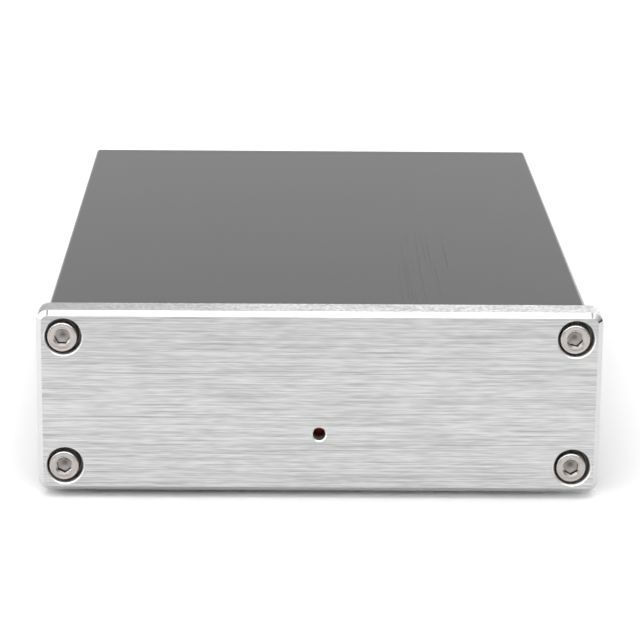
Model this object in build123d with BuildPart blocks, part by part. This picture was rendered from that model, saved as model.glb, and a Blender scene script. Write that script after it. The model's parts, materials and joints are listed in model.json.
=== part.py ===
"""Desktop DAC: a small digital-to-analogue converter in a split aluminium extrusion.

Frame: +Z up, +X to the right of someone facing the front panel, +Y from the front panel to the sockets.
The origin is the middle of the object's footprint, on the surface that its rubber feet stand on.
All sizes are millimetres.
"""
import os
from math import cos, radians, sin

from build123d import *

os.makedirs("parts", exist_ok=True)

# ---------------------------------------------------------------- driving dimensions
shell_w = 100.0  # outside width of the extruded case
shell_h = 31.0  # outside height of the two halves together
shell_l = 140.0  # length the extrusion is cut to
wall = 2.0
overhang = 1.7  # how far the front panel stands past the case on every side
panel_t = 6.4  # thickness of the front panel
rear_t = 3.0  # thickness of the rear panel
foot_h = 3.0
edge_inset = 3.2  # case screw axis to each outer face of the case
lever_reach = 15.5  # power lever tip to the rear panel's outer face
lever_throw = 12.5  # power lever's angle each side of straight out, in degrees
slide_gap = 0.1  # ordinary assembly clearance
board_t = 1.6

# ---------------------------------------------------------------- places that follow from them
panel_w = shell_w + 2 * overhang
panel_h = shell_h + 2 * overhang
overall_l = panel_t + shell_l + rear_t + lever_reach
y_face = -overall_l / 2  # front of the front panel
y_shell = y_face + panel_t  # front end of the extrusion
y_back = y_shell + shell_l  # inner face of the rear panel
y_rear = y_back + rear_t  # outer face of the rear panel
z_case = foot_h  # underside of the case
z_mid = z_case + shell_h / 2  # parting line of the two halves
screw_x = shell_w / 2 - edge_inset
screw_z = shell_h / 2 - edge_inset
screw_spots = [(sx * screw_x, z_mid + sz * screw_z) for sx in (-1, 1) for sz in (-1, 1)]


def facing_front(x, y, z):
    """A plane across Y whose normal points at the user, -Y."""
    return Plane(origin=(x, y, z), x_dir=(1, 0, 0), z_dir=(0, -1, 0))


def facing_rear(x, y, z):
    """A plane across Y whose normal points out of the back, +Y."""
    return Plane(origin=(x, y, z), x_dir=(-1, 0, 0), z_dir=(0, 1, 0))


def across_x(x):
    """A plane across X whose own X runs along +Y, for side profiles and for pins that lie along X."""
    return Plane(origin=(x, 0, 0), x_dir=(0, 1, 0), z_dir=(1, 0, 0))


def finish(piece, name):
    piece.part.label = name
    export_step(piece.part, f"parts/{name}.step")


# ---------------------------------------------------------------- extruded case halves
shell_edge_r = 0.8
parting_break = 0.25
joint_wall = 3.2  # side wall at the parting line, thick enough for a tongue and groove
joint_h = 4.5
tongue_t = 1.2
tongue_h = 1.6
boss_r = edge_inset
thread_bore_r = 1.52
boss_slot = 1.4  # extruded screw channels are open along one side
board_slot_z = 6.5  # floor of the board slot above the case's underside
board_slot_h = 1.8
rib_h = 1.0
rib_reach = 2.4  # how far the board ribs stand in from the side wall

# The section is drawn from the parting line, with its own Y up, and both ends of it are mirror images
# but for the tongue on one side and the groove on the other.
half_h = shell_h / 2
inner_x = shell_w / 2 - wall
joint_x = shell_w / 2 - joint_wall / 2
with BuildPart() as bottom_shell:
    with BuildSketch(facing_front(0, y_shell, z_mid)) as section:
        with Locations((0, -half_h / 2)):
            Rectangle(shell_w, half_h)
        fillet(section.vertices().group_by(Axis.Y)[0], shell_edge_r)
        chamfer(section.vertices().group_by(Axis.Y)[-1], parting_break)
        with Locations((0, wall - half_h / 2)):
            Rectangle(2 * inner_x, half_h, mode=Mode.SUBTRACT)
        for side in (-1, 1):
            with Locations((side * (inner_x - (joint_wall - wall) / 2), -joint_h / 2)):
                Rectangle(joint_wall - wall, joint_h)
            with Locations((side * screw_x, -screw_z)):
                Circle(boss_r)
            for rib_z in (board_slot_z - rib_h / 2, board_slot_z + board_slot_h + rib_h / 2):
                with Locations((side * (inner_x - rib_reach / 2), rib_z - half_h)):
                    Rectangle(rib_reach, rib_h)
        for side in (-1, 1):
            with Locations((side * screw_x, -screw_z)):
                Circle(thread_bore_r, mode=Mode.SUBTRACT)
            with Locations((side * (screw_x - boss_r / 2), -screw_z)):
                Rectangle(boss_r, boss_slot, mode=Mode.SUBTRACT)
        with Locations((joint_x, tongue_h / 2)):
            Rectangle(tongue_t, tongue_h)
        with Locations((-joint_x, -tongue_h / 2)):
            Rectangle(tongue_t + slide_gap, tongue_h + slide_gap, mode=Mode.SUBTRACT)
    extrude(amount=-shell_l)
finish(bottom_shell, "bottom_shell")

# The two halves are the same extrusion: the upper one is turned half round the case's long axis.
with BuildPart() as top_shell:
    add(bottom_shell.part.rotate(Axis((0, 0, z_mid), (0, 1, 0)), 180))
finish(top_shell, "top_shell")

# ---------------------------------------------------------------- front panel
corner_r = 2.1
face_chamfer = 0.9
back_break = 0.3
clearance_r = 1.85
cap_seat_r = 3.3
cap_seat_depth = 3.0
seat_break = 0.3
led_break = 0.25
panel_play = 0.25  # the panel has taken up this much of its screw holes' play, to the right
led_x = panel_play
led_z = z_case - overhang + 11.1
led_hole_r = 1.15
led_seat_r = 1.6
led_web = 3.2  # front part of the lamp hole, drilled small

with BuildPart() as front_panel:
    with BuildSketch(facing_front(panel_play, y_face, z_mid)):
        RectangleRounded(panel_w, panel_h, corner_r)
    extrude(amount=-panel_t)
    chamfer(front_panel.faces().sort_by(Axis.Y)[0].edges(), face_chamfer)
    chamfer(front_panel.faces().sort_by(Axis.Y)[-1].edges(), back_break)
    for x, z in screw_spots:
        with Locations(facing_front(x + panel_play, y_face, z)):
            CounterBoreHole(clearance_r, cap_seat_r, cap_seat_depth, panel_t)
    with Locations(facing_front(led_x, y_face, led_z)):
        Hole(led_hole_r, panel_t)
    with Locations(facing_rear(led_x, y_shell, led_z)):
        Hole(led_seat_r, panel_t - led_web)
    mouths = front_panel.faces().sort_by(Axis.Y)[0].edges().filter_by(lambda edge: edge.is_closed)
    chamfer(mouths.sort_by(SortBy.RADIUS)[1:], seat_break)
    mouths = front_panel.faces().sort_by(Axis.Y)[0].edges().filter_by(lambda edge: edge.is_closed)
    chamfer(mouths.sort_by(SortBy.RADIUS)[0], led_break)
finish(front_panel, "front_panel")

# ---------------------------------------------------------------- case screws
thread_r = 1.5
thread_depth = 0.27
thread_pitch = 0.5
thread_start = 0.5  # plain shank under the head
tip_break = 0.4
# The socket's chamfered mouth and its drill point, as fractions of the hexagon across its flats.
mouth_spread, mouth_depth, drill_depth = 0.62, 0.36, 0.28


def thread_outline(length):
    """Half-section of an M3 thread from its head (0) to its tip (-length), as ring grooves."""
    points = [(0, 0), (thread_r, 0)]
    for turn in range(int((length - thread_start - tip_break) / thread_pitch)):
        crest = -thread_start - turn * thread_pitch
        points += [(thread_r, crest), (thread_r - thread_depth, crest - thread_pitch / 2)]
    return points + [(thread_r, tip_break - length), (thread_r - tip_break, -length), (0, -length)]


def socket_screw(seat, turn, head_r, head_h, dome, hexagon, socket_depth, length):
    """One hexagon socket screw whose head stands on the plane called seat, turned by some degrees."""
    down = Align.CENTER, Align.CENTER, Align.MAX
    with BuildPart() as screw:
        with BuildSketch(Plane.XZ):
            with BuildLine():
                Polyline(*thread_outline(length), close=True)
            make_face()
        revolve(axis=Axis.Z)
        with Locations((0, 0, head_h / 2)):
            Cylinder(head_r, head_h)
        fillet(screw.faces().sort_by(Axis.Z)[-1].edges(), dome)
        with BuildSketch(Plane.XY.offset(head_h)):
            RegularPolygon(hexagon / 2, 6, major_radius=False)
        extrude(amount=-socket_depth, mode=Mode.SUBTRACT)
        with Locations((0, 0, head_h)):
            Cone(0, mouth_spread * hexagon, mouth_depth * hexagon, align=down, mode=Mode.SUBTRACT)
        with Locations((0, 0, head_h - socket_depth)):
            Cone(0, hexagon / 2, drill_depth * hexagon, align=down, mode=Mode.SUBTRACT)
    return seat.location * Rotation(0, 0, turn) * screw.part


cap_head_r = 2.75
cap_head_h = 3.0
cap_hexagon = 2.5
cap_rounding = 0.3
cap_socket_depth = 1.5
cap_length = 10.0
cap_turns = [24, 2, 30, 12]  # how far round each screw happened to stop, in degrees

cap_screw = cap_head_r, cap_head_h, cap_rounding, cap_hexagon, cap_socket_depth, cap_length
with BuildPart() as front_screws:
    for (x, z), turn in zip(screw_spots, cap_turns):
        add(socket_screw(facing_front(x, y_face + cap_seat_depth, z), turn, *cap_screw))
finish(front_screws, "front_screws")

button_head_r, button_head_h = 2.85, 1.65
button_rounding = 1.1
button_hexagon, button_depth = 2.0, 1.0
button_length = 8.0
button_turns = [8, 41, 25, 54]
button_screw = button_head_r, button_head_h, button_rounding, button_hexagon, button_depth, button_length
with BuildPart() as rear_screws:
    for (x, z), turn in zip(screw_spots, button_turns):
        add(socket_screw(facing_rear(x, y_rear, z), turn, *button_screw))
finish(rear_screws, "rear_screws")

# ---------------------------------------------------------------- rubber feet
foot_r = 5.0
foot_x = 37.0
foot_end_gap = 15.0
foot_draft = 6
foot_rounding = 0.6
with BuildPart() as rubber_feet:
    with BuildSketch(Plane.XY.offset(foot_h)):
        with Locations((0, (y_shell + y_back) / 2)):
            with GridLocations(2 * foot_x, shell_l - 2 * foot_end_gap, 2, 2):
                Circle(foot_r)
    extrude(amount=-foot_h, taper=foot_draft)
    fillet(rubber_feet.faces().group_by(Axis.Z)[0].edges(), foot_rounding)
finish(rubber_feet, "rubber_feet")

# ---------------------------------------------------------------- main board and its soldered leads
board_side_gap = 0.3
board_w = 2 * (inner_x - board_side_gap)
board_front = y_shell + 4.0
board_back = y_back - 1.5
z_board = z_case + board_slot_z + slide_gap + board_t  # component side
z_under = z_board - board_t

# Sockets along the rear edge, by the X of each axis.
phono_sockets = {"rca_right": 38.0, "rca_left": 23.5, "coax": 8.5}
toslink_x, usb_x, switch_x, dc_x = -5.0, -19.0, -31.0, -40.5
phono_z = z_mid


def on_board(*spots):
    """Places on the board given as (x, distance in front of the rear panel)."""
    return [(x, y_back - gap) for x, gap in spots]


big_can_spots = on_board(*[(x, gap) for x in (-36.5, -22.5) for gap in (39.0, 54.0)])
small_can_spots = on_board(*[(x, gap) for x in (18.0, 26.0, 34.0, 42.0) for gap in (66.0, 95.0)])
film_cap_spots = on_board(*[(x, 27.0) for x in (15.0, 20.0, 38.0, 43.0)])
diode_spots = on_board(*[(x, 24.5) for x in (-43.0, -38.5, -34.0, -29.5)])
opamp_spots = on_board((24.0, 52.0), (38.0, 52.0))
regulator_spots = on_board((-34.0, 76.0), (-14.0, 80.0))
crystal_spots = on_board((-14.0, 98.0), (0.0, 98.0))
relay_spots = on_board((29.5, 34.0))
header_spots = on_board((8.0, 116.0))
choke_spots = on_board((-3.0, 66.0))

# Leads through the board, as steps in X and Y from the middle of each part.
dip_pitch = 2.54
big_can_pitch, small_can_pitch, film_cap_pitch = 5.0, 2.5, 5.0
diode_pitch, crystal_pitch, relay_pitch = 8.2, 4.88, 6.0
dip_rows = [(row - 1.5) * dip_pitch for row in range(4)]
header_pins = [(column * dip_pitch, side * dip_pitch / 2) for column in range(-2, 3) for side in (-1, 1)]
lead_plan = [
    (big_can_spots, [(side * big_can_pitch / 2, 0) for side in (-1, 1)]),
    (small_can_spots, [(side * small_can_pitch / 2, 0) for side in (-1, 1)]),
    (film_cap_spots, [(0, side * film_cap_pitch / 2) for side in (-1, 1)]),
    (diode_spots, [(0, side * diode_pitch / 2) for side in (-1, 1)]),
    (opamp_spots, [(side * 1.5 * dip_pitch, row) for side in (-1, 1) for row in dip_rows]),
    (regulator_spots, [(step * dip_pitch, 0) for step in (-1, 0, 1)]),
    (crystal_spots, [(side * crystal_pitch / 2, 0) for side in (-1, 1)]),
    (relay_spots, [(side * dip_pitch, step * relay_pitch) for side in (-1, 1) for step in (-1, 0, 1)]),
    (header_spots, header_pins),
    (choke_spots, [(side * dip_pitch, 0) for side in (-1, 1)]),
    (on_board(*[(x, 5.2) for x in phono_sockets.values()]), [(-3.0, -1.3), (3.0, -1.3), (0, 1.2)]),
    (on_board((usb_x, 11.0)), [(side * 1.25, row) for side in (-1, 1) for row in (-1, 1)]),
    (on_board((toslink_x, 10.0)), [(step * dip_pitch, 0) for step in (-1, 0, 1)]),
    (on_board((dc_x, 9.5)), [(0, -2.5), (0, 2.5), (3.0, 0)]),
    (on_board((switch_x, 7.5)), [(0, -2.0), (0, 2.0)]),
]
lead_r = 0.4
lead_play = 0.1
lead_tail = 1.2
lead_spots = [(x + dx, y + dy) for spots, steps in lead_plan for x, y in spots for dx, dy in steps]

led_lead_y = board_front + 3.0
led_lead_spots = [(led_x + side * dip_pitch / 2, led_lead_y) for side in (-1, 1)]

with BuildPart() as main_board:
    with BuildSketch(Plane.XY.offset(z_under)):
        with Locations((0, (board_front + board_back) / 2)):
            RectangleRounded(board_w, board_back - board_front, 1.0)
        with Locations(*lead_spots, *led_lead_spots):
            Circle(lead_r + lead_play, mode=Mode.SUBTRACT)
    extrude(amount=board_t)
finish(main_board, "main_board")

with BuildPart() as component_leads:
    with BuildSketch(Plane.XY.offset(z_under - lead_tail)):
        with Locations(*lead_spots):
            Circle(lead_r)
    extrude(amount=board_t + lead_tail)
finish(component_leads, "component_leads")

# ---------------------------------------------------------------- front lamp
lamp_r = 1.5
lamp_flat_r = 0.02  # the dome is all but a full half ball
lamp_tip = 3.6  # the lens tip stands this far behind the panel's face
lamp_l = 5.3
flange_r = 1.9
lamp_back = y_face + lamp_tip + lamp_l
flange_l = 1.0
with BuildPart() as led_lens:
    with BuildSketch(facing_rear(led_x, lamp_back, led_z)):
        Circle(flange_r)
    extrude(amount=-flange_l)
    with BuildSketch(facing_rear(led_x, lamp_back, led_z)):
        Circle(lamp_r)
    extrude(amount=-lamp_l)
    fillet(led_lens.faces().sort_by(Axis.Y)[0].edges(), lamp_r - lamp_flat_r)
finish(led_lens, "led_lens")

led_lead_t = 0.5
with BuildPart() as led_leads:
    for x, y in led_lead_spots:
        with BuildSketch(across_x(x)):
            with BuildLine():
                Polyline((lamp_back, led_z), (y, led_z), (y, z_under - lead_tail))
                offset(amount=led_lead_t / 2, kind=Kind.INTERSECTION)
            make_face()
        extrude(amount=led_lead_t / 2, both=True)
    split(bisect_by=facing_rear(0, lamp_back, 0))
finish(led_leads, "led_leads")

# ---------------------------------------------------------------- phono sockets
block_w, block_h, block_l = 10.0, 12.4, 9.0
block_rounding = 0.6
barrel_r = 4.15
barrel_bore_r = 3.65
barrel_neck_r = 3.95  # a little slimmer where it passes through the rear panel
barrel_root = 2.0  # how deep the barrel is held in the block
barrel_out = 8.5  # how far it stands out of the rear panel
barrel_neck_out = 0.3  # where its full diameter starts, outside the rear panel
barrel_rounding = 0.2
insert_recess = 0.9  # the coloured insert ends this far inside the barrel's rim
contact_r = 2.0
contact_bore_r = 1.68
contact_recess = 1.5
contact_slot = 0.4
contact_foot = 2.5  # plastic behind the contact's inner end
contact_well = 1.0  # how far the bore goes on past that end
insert_bevel = 0.15
phono_hole_r = barrel_r + 0.35
phono_spots = [(x, phono_z) for x in phono_sockets.values()]
y_block = y_back - slide_gap
y_root = y_block - barrel_root

for name, x in phono_sockets.items():
    with BuildPart() as phono_block:
        with BuildSketch(facing_rear(x, y_block, z_board + block_h / 2)):
            RectangleRounded(block_w, block_h, block_rounding)
        extrude(amount=-block_l)
        with Locations(facing_rear(x, y_block, phono_z)):
            Hole(barrel_neck_r, barrel_root)
            Hole(contact_r, block_l - contact_foot + contact_well)
    finish(phono_block, f"{name}_block")

    with BuildPart() as phono_insert:
        with BuildSketch(facing_rear(x, y_root, phono_z)):
            Circle(barrel_bore_r)
            Circle(contact_r, mode=Mode.SUBTRACT)
        extrude(amount=y_rear + barrel_out - insert_recess - y_root)
        chamfer(phono_insert.faces().sort_by(Axis.Y)[-1].edges(), insert_bevel)
    finish(phono_insert, f"{name}_insert")

with BuildPart() as phono_barrels:
    for x, z in phono_spots:
        with BuildSketch(facing_rear(x, y_root, z)):
            Circle(barrel_neck_r)
        extrude(amount=y_rear + barrel_neck_out - y_root)
        with BuildSketch(facing_rear(x, y_rear + barrel_neck_out, z)):
            Circle(barrel_r)
        extrude(amount=barrel_out - barrel_neck_out)
    fillet(phono_barrels.faces().group_by(Axis.Y)[-1].edges(), barrel_rounding)
    with Locations(*[facing_rear(x, y_rear + barrel_out, z) for x, z in phono_spots]):
        Hole(barrel_bore_r)
finish(phono_barrels, "phono_barrels")

with BuildPart() as phono_contacts:
    for x, z in phono_spots:
        contact_end = y_block - block_l + contact_foot
        with BuildSketch(facing_rear(x, contact_end, z)):
            Circle(contact_r)
            Circle(contact_bore_r, mode=Mode.SUBTRACT)
        extrude(amount=y_rear + barrel_out - contact_recess - contact_end)
        with BuildSketch(facing_rear(x, y_rear, z)):
            Rectangle(contact_slot, 3 * contact_r)
        extrude(amount=barrel_out, mode=Mode.SUBTRACT)
finish(phono_contacts, "phono_contacts")

# ---------------------------------------------------------------- USB type B socket
usb_w, usb_h, usb_l = 12.0, 10.9, 16.2
usb_skin = 0.4
usb_rounding = 0.7
usb_inner_rounding = 0.4
usb_proud = 0.6
usb_mouth_w, usb_mouth_h = 8.5, 7.9
usb_mouth_cut = 1.7
usb_z = z_board + usb_h / 2
usb_front = y_rear + usb_proud
usb_tongue_w, usb_tongue_h, usb_tongue_l = 5.7, 3.2, 8.6
usb_cavity_l = 10.0
usb_contact_w, usb_contact_t, usb_contact_pitch = 1.0, 0.15, 2.5
usb_contact_short = 0.7  # the contacts stop this far short of the tongue's tip
y_usb_tongue = usb_front - usb_skin - usb_cavity_l

with BuildPart() as usb_shell:
    with BuildSketch(facing_rear(usb_x, usb_front, usb_z)):
        RectangleRounded(usb_w, usb_h, usb_rounding)
    extrude(amount=-usb_l)
    with BuildSketch(facing_rear(usb_x, usb_front - usb_skin, usb_z)):
        RectangleRounded(usb_w - 2 * usb_skin, usb_h - 2 * usb_skin, usb_inner_rounding)
    extrude(amount=-usb_l, mode=Mode.SUBTRACT)
    with BuildSketch(facing_rear(usb_x, usb_front, usb_z)) as mouth:
        Rectangle(usb_mouth_w, usb_mouth_h)
        chamfer(mouth.vertices().group_by(Axis.Y)[-1], usb_mouth_cut)
    extrude(amount=-usb_skin, mode=Mode.SUBTRACT)
finish(usb_shell, "usb_shell")

with BuildPart() as usb_insert:
    with BuildSketch(facing_rear(usb_x, usb_front - usb_skin, usb_z)):
        RectangleRounded(usb_w - 2 * usb_skin, usb_h - 2 * usb_skin, usb_inner_rounding)
    extrude(amount=-(usb_l - usb_skin))
    with BuildSketch(facing_rear(usb_x, usb_front - usb_skin, usb_z)) as cavity:
        Rectangle(usb_mouth_w, usb_mouth_h)
        chamfer(cavity.vertices().group_by(Axis.Y)[-1], usb_mouth_cut)
    extrude(amount=-usb_cavity_l, mode=Mode.SUBTRACT)
    with BuildSketch(facing_rear(usb_x, y_usb_tongue, usb_z)):
        Rectangle(usb_tongue_w, usb_tongue_h)
    extrude(amount=usb_tongue_l)
finish(usb_insert, "usb_insert")

with BuildPart() as usb_contacts:
    with BuildSketch(facing_rear(usb_x, y_usb_tongue, usb_z)):
        with GridLocations(usb_contact_pitch, usb_tongue_h + usb_contact_t, 2, 2):
            Rectangle(usb_contact_w, usb_contact_t)
    extrude(amount=usb_tongue_l - usb_contact_short)
finish(usb_contacts, "usb_contacts")

# ---------------------------------------------------------------- optical input and its sprung shutter
opt_w, opt_h, opt_l = 9.8, 10.0, 15.0
opt_rounding = 0.4
opt_proud = 0.3
opt_mouth = 8.4
opt_mouth_cut = 1.2
opt_cavity_l = 9.6
opt_z = z_board + opt_h / 2
opt_front = y_rear + opt_proud
y_opt_floor = opt_front - opt_cavity_l
lens_post_r, lens_r = 1.9, 0.9
lens_post_l, lens_recess = 1.0, 0.3
shutter_t = 0.8
shutter_gap = 0.25  # round the flap on each side
hinge_drop = 0.75  # hinge axis below the top of the mouth
pin_play = 0.05
pin_reach = 0.3  # how far the hinge pin enters each wall
shutter_y = opt_front - 0.9
shutter_z = opt_z + opt_mouth / 2 - hinge_drop
shutter_w = opt_mouth - 2 * shutter_gap
shutter_l = opt_mouth - hinge_drop - shutter_gap

with BuildPart() as toslink_housing:
    with BuildSketch(facing_rear(toslink_x, opt_front, opt_z)):
        RectangleRounded(opt_w, opt_h, opt_rounding)
    extrude(amount=-opt_l)
    with BuildSketch(facing_rear(toslink_x, opt_front, opt_z)) as mouth:
        Rectangle(opt_mouth, opt_mouth)
        chamfer(mouth.vertices().group_by(Axis.Y)[0], opt_mouth_cut)
    extrude(amount=-opt_cavity_l, mode=Mode.SUBTRACT)
    with BuildSketch(facing_rear(toslink_x, y_opt_floor, opt_z)):
        Circle(lens_post_r)
        Circle(lens_r, mode=Mode.SUBTRACT)
    extrude(amount=lens_post_l)
    with BuildSketch(across_x(toslink_x)):
        with Locations((shutter_y, shutter_z)):
            Circle(shutter_t / 2 + pin_play)
    extrude(amount=opt_mouth / 2 + pin_reach + slide_gap, both=True, mode=Mode.SUBTRACT)
finish(toslink_housing, "toslink_housing")

with BuildPart() as toslink_shutter:
    with BuildSketch(facing_rear(toslink_x, shutter_y + shutter_t / 2, shutter_z)) as flap:
        with Locations((0, -shutter_l / 2)):
            Rectangle(shutter_w, shutter_l)
        chamfer(flap.vertices().group_by(Axis.Y)[0], opt_mouth_cut)
    extrude(amount=-shutter_t)
    with BuildSketch(across_x(toslink_x)):
        with Locations((shutter_y, shutter_z)):
            Circle(shutter_t / 2)
    extrude(amount=opt_mouth / 2 + pin_reach, both=True)
finish(toslink_shutter, "toslink_shutter")

with BuildPart() as toslink_receiver:
    with BuildSketch(facing_rear(toslink_x, y_opt_floor, opt_z)):
        Circle(lens_r)
    extrude(amount=lens_post_l - lens_recess)
finish(toslink_receiver, "toslink_receiver")

# ---------------------------------------------------------------- DC inlet
dc_w, dc_h, dc_l = 9.0, 11.0, 12.0
dc_rounding = 0.4
dc_proud = 0.3
dc_z = z_board + 6.5
dc_nose_r = 3.9
dc_nose_break = 0.2
dc_bore_r = 3.2
dc_bore_l = 10.5
dc_pin_r, dc_pin_recess, dc_pin_rounding = 1.0, 0.9, 0.6
dc_spring_w, dc_spring_t, dc_spring_recess = 2.0, 0.3, 3.0
dc_front = y_rear + dc_proud
y_dc_floor = dc_front - dc_bore_l

with BuildPart() as dc_inlet:
    with BuildSketch(facing_rear(dc_x, y_back - slide_gap, z_board + dc_h / 2)):
        RectangleRounded(dc_w, dc_h, dc_rounding)
    extrude(amount=-dc_l)
    with BuildSketch(facing_rear(dc_x, y_back - slide_gap, dc_z)):
        Circle(dc_nose_r)
    extrude(amount=slide_gap + rear_t + dc_proud)
    chamfer(dc_inlet.faces().sort_by(Axis.Y)[-1].edges(), dc_nose_break)
    with Locations(facing_rear(dc_x, dc_front, dc_z)):
        Hole(dc_bore_r, dc_bore_l)
finish(dc_inlet, "dc_inlet")

with BuildPart() as dc_pin:
    with BuildSketch(facing_rear(dc_x, y_dc_floor, dc_z)):
        Circle(dc_pin_r)
    extrude(amount=dc_bore_l - dc_pin_recess)
    fillet(dc_pin.faces().sort_by(Axis.Y)[-1].edges(), dc_pin_rounding)
finish(dc_pin, "dc_pin")

with BuildPart() as dc_spring:
    with BuildSketch(facing_rear(dc_x, y_dc_floor, dc_z - dc_bore_r + dc_spring_t)):
        Rectangle(dc_spring_w, dc_spring_t)
    extrude(amount=dc_bore_l - dc_spring_recess)
finish(dc_spring, "dc_spring")

# ---------------------------------------------------------------- power switch
switch_w, switch_h, switch_l = 7.9, 13.0, 9.5
switch_rounding = 0.4
switch_well = 4.0  # room for the lever's inner end
switch_z = z_board + slide_gap + switch_h / 2
switch_front = y_back - 0.8
bush_r, bush_bore_r = 3.0, 2.35
bush_out = 5.4  # bushing past the rear panel's outer face
bush_break = 0.35
bush_grooves, groove_pitch, groove_w, groove_depth = 3, 0.7, 0.3, 0.22
washer_r, washer_t, washer_notches, washer_notch_r = 4.9, 0.5, 16, 0.45
nut_across, nut_t, nut_turn, nut_draft = 8.0, 2.0, 14, 8
nut_crown = 0.555  # radius of the nut's bevelled corners, over its width across the flats
thread_play = 0.03
pivot_y = y_rear + bush_out - 3.2
ball_r = 2.25
lever_root_r, lever_tip_r = 1.25, 1.75
lever_neck = 1.5  # where the lever starts to widen towards its tip
tail_r, tail_l = 0.8, 5.2

with BuildPart() as switch_body:
    with BuildSketch(facing_rear(switch_x, switch_front, switch_z)):
        RectangleRounded(switch_w, switch_h, switch_rounding)
    extrude(amount=-switch_l)
    with Locations(facing_rear(switch_x, switch_front, switch_z)):
        Hole(bush_bore_r, switch_well)
finish(switch_body, "switch_body")

with BuildPart() as switch_bushing:
    with BuildSketch(facing_rear(switch_x, switch_front, switch_z)):
        Circle(bush_r)
        Circle(bush_bore_r, mode=Mode.SUBTRACT)
    extrude(amount=y_rear + bush_out - switch_front)
    chamfer(switch_bushing.faces().sort_by(Axis.Y)[-1].edges().sort_by(SortBy.RADIUS)[-1], bush_break)
    for groove in range(bush_grooves):
        groove_y = y_rear + bush_out - bush_break - (groove + 1) * groove_pitch
        with BuildSketch(facing_rear(switch_x, groove_y, switch_z)):
            Circle(bush_r + groove_depth)
            Circle(bush_r - groove_depth, mode=Mode.SUBTRACT)
        extrude(amount=groove_w, mode=Mode.SUBTRACT)
finish(switch_bushing, "switch_bushing")

with BuildPart() as switch_washer:
    with BuildSketch(facing_rear(switch_x, y_rear, switch_z)):
        Circle(washer_r)
        Circle(bush_r + slide_gap, mode=Mode.SUBTRACT)
        with PolarLocations(washer_r, washer_notches):
            Circle(washer_notch_r, mode=Mode.SUBTRACT)
    extrude(amount=washer_t)
finish(switch_washer, "switch_washer")

with BuildPart() as switch_nut:
    with BuildSketch(facing_rear(switch_x, y_rear + washer_t, switch_z)):
        RegularPolygon(nut_across / 2, 6, major_radius=False, rotation=nut_turn)
        Circle(bush_r + thread_play, mode=Mode.SUBTRACT)
    extrude(amount=nut_t)
    with BuildSketch(facing_rear(switch_x, y_rear + washer_t, switch_z)):
        Circle(nut_crown * nut_across)
    extrude(amount=nut_t, taper=nut_draft, mode=Mode.INTERSECT)
finish(switch_nut, "switch_nut")

# The bat lever is turned about +Y here, then tipped down to its lower stop.
lever_l = (lever_reach + y_rear - pivot_y - lever_tip_r) / cos(radians(lever_throw)) + lever_tip_r
with BuildPart() as straight_lever:
    with BuildSketch(Plane.XY):
        with BuildLine():
            tip_start = (lever_tip_r, lever_l - lever_tip_r)
            Polyline((0, lever_l), (0, 0), (lever_root_r, 0), (lever_root_r, lever_neck), tip_start)
            RadiusArc((0, lever_l), tip_start, lever_tip_r)
        make_face()
    revolve(axis=Axis.Y)
    Sphere(ball_r)
    with Locations((0, -tail_l / 2, 0)):
        Cylinder(tail_r, tail_l, rotation=(90, 0, 0))
with BuildPart() as switch_lever:
    add(Location((switch_x, pivot_y, switch_z), (-lever_throw, 0, 0)) * straight_lever.part)
finish(switch_lever, "switch_lever")

# ---------------------------------------------------------------- rear panel
rear_break = 0.4
cut_out_gap = 0.2
with BuildPart() as rear_panel:
    with BuildSketch(facing_rear(0, y_back, z_mid)):
        RectangleRounded(shell_w, shell_h, shell_edge_r)
    extrude(amount=rear_t)
    chamfer(rear_panel.faces().sort_by(Axis.Y)[-1].edges(), rear_break)
    with Locations(*[facing_rear(x, y_rear, z) for x, z in screw_spots]):
        Hole(clearance_r, rear_t)
    with Locations(*[facing_rear(x, y_rear, z) for x, z in phono_spots]):
        Hole(phono_hole_r, rear_t)
    with Locations(facing_rear(dc_x, y_rear, dc_z)):
        Hole(dc_nose_r + cut_out_gap, rear_t)
    with Locations(facing_rear(switch_x, y_rear, switch_z)):
        Hole(bush_r + slide_gap, rear_t)
    with BuildSketch(facing_rear(0, y_rear, 0)):
        with Locations((-usb_x, usb_z)):
            RectangleRounded(usb_w + 2 * cut_out_gap, usb_h + 2 * cut_out_gap, usb_rounding)
        with Locations((-toslink_x, opt_z)):
            RectangleRounded(opt_w + 2 * cut_out_gap, opt_h + 2 * cut_out_gap, opt_rounding)
    extrude(amount=-rear_t, mode=Mode.SUBTRACT)
finish(rear_panel, "rear_panel")

# ---------------------------------------------------------------- power supply on the board
def standing_cans(spots, radius, height, rounding, crimp_depth):
    """Aluminium can capacitors standing on the board, each with the crimp round its foot."""
    crimp_h = 0.8
    with BuildPart() as cans:
        with BuildSketch(Plane.XY.offset(z_board)):
            with Locations(*spots):
                Circle(radius)
        extrude(amount=height)
        fillet(cans.faces().group_by(Axis.Z)[-1].edges(), rounding)
        with BuildSketch(Plane.XY.offset(z_board + 2 * crimp_h)):
            with Locations(*spots):
                Circle(radius + crimp_h)
                Circle(radius - crimp_depth, mode=Mode.SUBTRACT)
        extrude(amount=crimp_h, mode=Mode.SUBTRACT)
    return cans.part


big_can_r, big_can_h, big_can_rounding, big_can_crimp = 6.25, 16.0, 0.7, 0.35
with BuildPart() as supply_capacitors:
    add(standing_cans(big_can_spots, big_can_r, big_can_h, big_can_rounding, big_can_crimp))
finish(supply_capacitors, "supply_capacitors")

diode_r = 1.6
diode_l = 6.0
with BuildPart() as rectifier_diodes:
    for x, y in diode_spots:
        with Locations((x, y, z_board + diode_r)):
            Cylinder(diode_r, diode_l, rotation=(90, 0, 0))
            Cylinder(lead_r, diode_pitch, rotation=(90, 0, 0))
        with Locations(*[(x, y + side * diode_pitch / 2, z_board + diode_r / 2) for side in (-1, 1)]):
            Cylinder(lead_r, diode_r)
finish(rectifier_diodes, "rectifier_diodes")

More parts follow.
